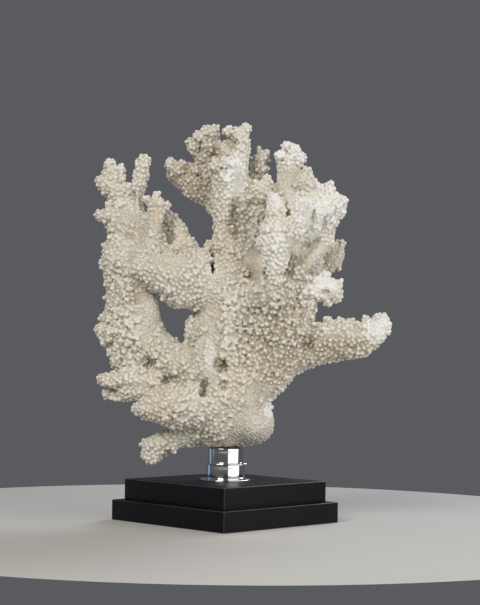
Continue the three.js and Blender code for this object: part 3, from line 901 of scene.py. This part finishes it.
def scattered(points, spacing, rounds=8):
    """Chooses points at least `spacing` apart. The points come in a random order, in as many
    shares as rounds. Each cell of a fine lattice takes one point of a share, a point too near
    one chosen before is dropped, and so is one too near an earlier one of its own share."""
    cell = spacing / math.sqrt(3)
    lattice = np.floor((points - origin) / cell).astype(int) + 2
    size = lattice.max(0) + 3
    strides = np.array([size[1] * size[2], size[2], 1])
    lattice = lattice @ strides
    around = np.array([m for m in np.ndindex(5, 5, 5) if m != (2, 2, 2)]) - 2
    taken = np.full(size.prod(), -1)
    offers = np.full(size.prod(), -1)
    points = points.astype(np.float32)

    def crowded(which, table, earlier):
        close = np.zeros(len(which), bool)
        for move in around @ strides:
            other = table[lattice[which] + move]
            found = np.nonzero(other >= 0)[0]
            if len(found):
                gap = points[which[found]] - points[other[found]]
                rival = (gap * gap).sum(1) < spacing ** 2
                if earlier:
                    rival &= rank[other[found]] < rank[which[found]]
                close[found[rival]] = True
        return close

    order = rng.permutation(len(points))
    rank = np.empty(len(points), int)
    rank[order] = np.arange(len(points))
    for share in np.array_split(order, rounds):
        share = share[taken[lattice[share]] < 0]
        offers[...] = -1
        offers[lattice[share[::-1]]] = share[::-1]
        offered = share[offers[lattice[share]] == share]
        free = offered[~crowded(offered, taken, False)]
        offers[...] = -1
        offers[lattice[free]] = free
        winners = free[~crowded(free, offers, True)]
        taken[lattice[winners]] = winners
    return taken[taken >= 0]


def strewn(values, spacing, radii, lift, jitter, softness, wanted):
    """Sets knobs on a field's surface. Each is a short rod along the outward direction whose
    round end's centre stands `lift` above the skin; `wanted` gives the chance of one there."""
    skin, outward = on_surface(values)
    pick = scattered(skin, spacing)
    pick = pick[rng.random(len(pick)) < wanted(skin[pick])]
    foot, lean = skin[pick], outward[pick]
    size = rng.uniform(*radii, len(pick))
    lean = lean + KNOB_LEAN * rng.normal(size=lean.shape)
    height = lift + rng.uniform(-jitter, jitter, len(pick))
    root = foot + lean * (height - KNOB_ROOT)[:, None]
    budded(values, root, foot + lean * height[:, None], size, softness)


shelter = blurred((field < 0).astype(np.float32), SHELTER_REACH)
patchy = drift(PATCH_SPACING)


def slender(points):
    """0 on a broad face, 1 on a thin tip: how little of the coral lies within a few mm."""
    return np.clip(1.6 - 3.2 * sampled(shelter, points), 0, 1)


def behind(points, low, high):
    """How far the smooth random field has passed from low to high, 0 to 1, on the back only."""
    passed = np.clip((sampled(patchy, points) - low) / (high - low), 0, 1)
    return passed * np.clip((points[:, 1] - BACK_START) / BACK_FADE, 0, 1)


skin, outward = on_surface(field)
pick = scattered(skin, LUMP_SPACING)
foot, lean = skin[pick], outward[pick]
bare = slender(foot)
lumpy = within(foot, LUMPY)
worn = np.maximum(within(foot, WORN), 0.6 * within(foot, FINE))
size = rng.uniform(*LUMP_RADII, len(pick))
rise = rng.uniform(*LUMP_RISE, len(pick)) - 0.3 * bare + 0.7 * lumpy - 3.0 * worn
some = rise > 0
centre = foot + lean * (rise - size)[:, None]
budded(field, centre[some], centre[some], size[some], LUMP_SOFTNESS)
shaped(field, PITS, PIT_SOFTNESS, cut=True)
shaped(field, GAPS, GAP_SOFTNESS, cut=True)


def calm(points):
    """1 where knobs are missing, in the worn places and the pits."""
    worn = np.maximum(within(points, WORN), behind(points, -0.4, -0.65))
    return np.maximum(worn, within(points, PITS))


def fine(points):
    """1 where the knobs are finer than elsewhere."""
    return np.maximum(within(points, FINE), behind(points, -0.1, -0.35))


def bold(points):
    """The chance of a large knob."""
    rich = np.maximum(within(points, BOLD), behind(points, 0.3, 0.55))
    return (0.2 + 0.75 * rich) * (1 - slender(points)) * (1 - fine(points))


def small(points):
    """The chance of a fine knob."""
    return np.maximum(fine(points), 0.45 * within(points, WORN)) * (1 - within(points, PITS))


strewn(field, *BIG_KNOBS, lambda p: (1 - calm(p)) * bold(p))
strewn(field, *KNOBS, lambda p: (1 - calm(p)) * (1 - 0.8 * fine(p)))
strewn(field, *FINE_KNOBS, small)
field += GRIT * rng.normal(size=shape).astype(np.float32)

seat = limb_low["coral_trunk"][2]
height = origin[2] + np.arange(shape[2]) * STEP
across = (origin[0] + np.arange(shape[0]) * STEP)[:, None]
deep = (origin[1] + np.arange(shape[1]) * STEP)[None, :]
over_neck = np.sqrt(across ** 2 + deep ** 2) < SEAT_REACH
cut = np.where(over_neck[:, :, None], seat - height, OUT_OF_REACH).astype(np.float32)
np.maximum(field, cut, out=field)
field[0], field[-1], field[:, 0], field[:, -1], field[:, :, 0], field[:, :, -1] = [BAND] * 6


# ---- coral skeleton: its pieces ----
# The solid is cut along its forks into one closed piece for each limb. Where two limbs meet they
# share the same corners, and every piece takes its shading directions from the whole solid.
# Under each limb stand places in fractions of its box, and radii in mm.
GRANULE_SCALE = 750.0  # per metre: granules 1.3 mm across, coarser than real so that they show
PATCH_SCALE = 28.0  # per metre: paler and darker patches about 36 mm across
BEIGE_SCALE = 18.0  # per metre: beige patches about 56 mm across
BLUSHING = by_limb([
    ("front_lobe", [((-0.03, 0.54, 0.41), (10, 32, 18))]),
    ("left_limb", [((0.46, 0.27, 0.57), (8, 20, 8))]),
    ("right_fan", [((0.46, 0.11, 0.6), (3, 14, 10))]),
    ("trunk", [((0.5, 0.05, 0.35), (5, 12, 6))]),
    ("left_stub", [((0.56, 0.26, 0.64), (5, 12, 9))]),
    ("top_fan", [((0.48, -0.12, 0.57), (6, 16, 8))]),
])
BLEACHED = by_limb([
    ("right_arm", [((0.85, 0.12, 0.77), (18, 26, 15))]),
    ("right_stub", [((0.55, 0.11, 0.53), (18, 26, 14))]),
    ("column", [((0.64, 0.12, 0.67), (14, 20, 30))]),
    ("front_lobe", [((0.3, 0.32, 0.58), (19, 30, 29)), ((0.32, 0.32, 0.92), (11, 26, 14))]),
    ("right_fan", [((0.36, 0.11, 0.62), (22, 40, 29)), ((0.7, 0.4, 0.78), (22, 30, 28))]),
    ("trunk", [((0.37, 0.03, 0.53), (7, 20, 17)), ((0.97, 0.37, 0.22), (8, 30, 9))]),
    ("high_lobe", [((0.41, 0.17, 0.89), (20, 22, 16))]),
])
# Brown staining, together with painted shade on recesses, undersides and faces turned away from the
# lights.
STAIN_AND_SHADE = by_limb([
    ("column", [((0.66, 0.27, 0.38), (11, 16, 24))]),
    ("left_fan", [((0.42, -0.14, 0.8), (9, 14, 14))]),
    ("right_fan", [((0.21, -0.18, 0.12), (20, 20, 14))]),
    ("column", [((0.52, 0.32, 0.86), (8, 12, 10))]),
    ("left_limb", [((0.34, 0.19, 0.89), (6, 12, 5))]),
    ("right_arm", [((0.14, 0.31, 0.49), (13, 18, 24))]),
    ("twin_lobe", [((0.61, 0.07, 0.73), (7, 16, 8))]),
    ("slant_finger", [((0.49, 0.14, 0.51), (19, 20, 17))]),
    ("left_limb", [((0.4, 0.27, 0.54), (9, 16, 13))]),
    ("trunk", [((0.8, 0.05, 0.71), (24, 14, 33))]),
    ("right_limb", [((0.56, 0.11, 0.52), (24, 45, 29)), ((0.34, 0.11, 0.33), (24, 45, 27))]),
    ("top_fan", [((0.43, -0.04, 0.67), (18, 26, 16))]),
    ("slant_finger", [((0.36, 0.55, 0.61), (30, 22, 26))]),
    ("right_arm", [((0.46, 0.21, 0.41), (33, 30, 14))]),
])
label = np.where(field < 0, owner + 1, 0).astype(np.uint8)


def boundary(labels, values):
    """Finds each grid edge whose two ends have different labels, the four cells round it in a
    loop, and the point where the field is zero on it. A cell's corner is the average of those
    points on its edges, or its middle when it has none."""
    strides = np.array([labels.shape[1] * labels.shape[2], labels.shape[2], 1])
    loops, starts, ends, hits, hit_cells = [], [], [], [], []
    for axis in range(3):
        low = tuple(slice(0, -1) if a == axis else slice(None) for a in range(3))
        high = tuple(slice(1, None) if a == axis else slice(None) for a in range(3))
        index = np.stack(np.nonzero(labels[low] != labels[high]), -1)
        move = np.eye(3, dtype=int)
        here = tuple(index.T)
        there = tuple((index + move[axis]).T)
        base = index @ strides
        second, third = strides[(axis + 1) % 3], strides[(axis + 2) % 3]
        loop = np.stack([base - second - third, base - third, base, base - second], -1)
        loops.append(loop)
        starts.append(labels[here])
        ends.append(labels[there])
        edge = (starts[-1] == 0) | (ends[-1] == 0)
        a, b = values[here][edge], values[there][edge]
        share = np.clip(a / (a - b + 1e-12), 0.02, 0.98)
        hits.append(index[edge] + share[:, None] * move[axis])
        hit_cells.append(loop[edge])
    loops, starts, ends = np.concatenate(loops), np.concatenate(starts), np.concatenate(ends)
    cells, loops = np.unique(loops, return_inverse=True)
    loops = loops.reshape(-1, 4)
    hits, hit_cells = np.concatenate(hits), np.searchsorted(cells, np.concatenate(hit_cells))
    count = np.bincount(hit_cells.ravel(), minlength=len(cells))
    corners = np.stack(np.unravel_index(cells, labels.shape), -1) + 0.5
    for axis in range(3):
        total = np.bincount(hit_cells.ravel(), np.repeat(hits[:, axis], 4), len(cells))
        corners[:, axis] = np.where(count > 0, total / np.maximum(count, 1), corners[:, axis])
    return origin + corners * STEP, loops, starts, ends


def attached(loops, count):
    """Which loops belong to the largest linked set of cells. Each cell starts with its own
    number and takes the lowest number in any loop that it is in, until none changes."""
    order = np.argsort(loops, axis=None, kind="stable")
    first = np.searchsorted(loops.ravel()[order], np.arange(count))
    number, fresh = None, np.arange(count)
    while not np.array_equal(number, fresh):
        number = fresh
        fresh = np.minimum.reduceat(number[loops].min(1)[order // 4], first)
        fresh = fresh[fresh]
    return number[loops[:, 0]] == np.bincount(number).argmax()


corners, loops, starts, ends = boundary(label, field)
whole = attached(loops, len(corners))  # loose crumbs are left out
loops, starts, ends = loops[whole], starts[whole], ends[whole]
facing = np.stack([
    sampled(field, corners + move) - sampled(field, corners - move)
    for move in np.eye(3) * 0.7 * STEP
], -1)
facing = facing / (np.linalg.norm(facing, axis=1, keepdims=True) + 1e-9)
patches = {
    "proud": sampled(blurred(np.clip(field, -3, 3), 1.5), corners),
    "shelter": sampled(shelter, corners),
    "worn": calm(corners),
    "blushing": within(corners, BLUSHING),
    "bleached": np.maximum(within(corners, BLEACHED), 0.7 * behind(corners, 0.2, 0.5)),
    "stain_and_shade": np.maximum(within(corners, STAIN_AND_SHADE), 0.8 * behind(corners, -0.2, -0.6)),
    "pitted": within(corners, PITS),
}
row_corners = to_row(corners) / 1000
row_facing = to_row(facing)

# Dry aragonite is matt and porous: chalky white where it is worn, with stains in places. Its
# hollows and creases are darkened to ivory and tan as painted shade, with some dirt, and its knob
# tips are lightened as a painted highlight.
coral_lime, tree, shader = start_material("dry_coral_aragonite")
shader.inputs["Roughness"].default_value = 0.85
shader.inputs["Specular IOR Level"].default_value = 0.3


def painted(tree, name, low=0.0, high=1.0):
    """A patch's value at the surface, moved from low..high to 0..1 and held there."""
    value = add(tree, "Attribute", attribute_name=name).outputs["Fac"]
    span = add(tree, "MapRange", {"Value": value, "From Min": low, "From Max": high})
    return span.outputs["Result"]


def grain(tree, scale, detail=3.0, low=0.35, high=0.65):
    """Soft noise with features of 1/scale metres, stretched to 0..1."""
    place = add(tree, "TexCoord").outputs["Object"]
    noise = add(tree, "TexNoise", {"Vector": place, "Scale": scale, "Detail": detail})
    span = add(tree, "MapRange", {"Value": noise.outputs["Fac"], "From Min": low, "From Max": high})
    return span.outputs["Result"]


def times(tree, first, second):
    """The product of two links or numbers."""
    return add(tree, "Math", {0: first, 1: second}, operation="MULTIPLY").outputs["Value"]


chalk = blend(tree, grain(tree, PATCH_SCALE), linear("#CBC4B5"), linear("#DAD5CA"))
beige = times(tree, grain(tree, BEIGE_SCALE, 2.0, 0.48, 0.68), 0.6)
chalk = blend(tree, beige, chalk, linear("#CEC1AD"))
chalk = blend(tree, times(tree, painted(tree, "worn"), 0.6), chalk, linear("#C3BDB0"))
# Partly real staining and partly painted shade: those zones, and random patches on the back, are darkened
# toward brown.
chalk = blend(tree, times(tree, painted(tree, "stain_and_shade"), 0.68), chalk, linear("#A0957E"))
chalk = blend(tree, times(tree, painted(tree, "blushing"), 0.5), chalk, linear("#D0BEA2"))
# Painted highlight: knob tips and crests, where proud is above 0, are lightened toward white.
chalk = blend(tree, times(tree, painted(tree, "proud", 0.0, 0.9), 0.8), chalk, linear("#F4F1EB"))
chalk = blend(tree, times(tree, painted(tree, "bleached"), 0.75), chalk, linear("#F3F2EF"))
# Painted shade: the creases between knobs, where proud falls below 0, are darkened toward tan.
chalk = blend(tree, times(tree, painted(tree, "proud", 0.05, -0.6), 0.62), chalk, linear("#AAA089"))
# Painted shade, with some dirt: recesses closed in by the coral's bulk, where shelter is high, are
# darkened toward tan.
chalk = blend(tree, times(tree, painted(tree, "shelter", 0.56, 0.82), 0.72), chalk, linear("#9F9680"))
chalk = blend(tree, times(tree, painted(tree, "pitted"), 0.6), chalk, linear("#CCC29C"))
tree.links.new(chalk, shader.inputs["Base Color"])
place = add(tree, "TexCoord").outputs["Object"]
granules = add(tree, "TexVoronoi", {"Vector": place, "Scale": GRANULE_SCALE}, feature="SMOOTH_F1")
height = granules.outputs["Distance"]
raised = add(tree, "Bump", {"Height": height, "Strength": 0.55, "Distance": 0.0006}, invert=True)
tree.links.new(raised.outputs["Normal"], shader.inputs["Normal"])

for index, node in enumerate(coral_nodes):
    quads = np.concatenate([loops[starts == index + 1], loops[ends == index + 1][:, ::-1]])
    used, quads = np.unique(quads, return_inverse=True)
    mesh = bpy.data.meshes.new("knobbly_" + node)
    quads = quads.reshape(-1, 4)
    mesh.vertices.add(len(used))
    mesh.vertices.foreach_set("co", row_corners[used].astype(np.float32).ravel())
    mesh.loops.add(quads.size)
    mesh.loops.foreach_set("vertex_index", quads.astype(np.int32).ravel())
    mesh.polygons.add(len(quads))
    mesh.polygons.foreach_set("loop_start", np.arange(len(quads), dtype=np.int32) * 4)
    mesh.update(calc_edges=True)
    mesh.polygons.foreach_set("use_smooth", np.ones(len(quads), bool))
    for name, values in patches.items():
        layer = mesh.attributes.new(name, "FLOAT", "POINT")
        layer.data.foreach_set("value", values[used].astype(np.float32))
    mesh.normals_split_custom_set_from_vertices(row_facing[used].tolist())
    place_piece("knobbly_" + node, mesh, coral_lime, node)

low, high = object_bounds()
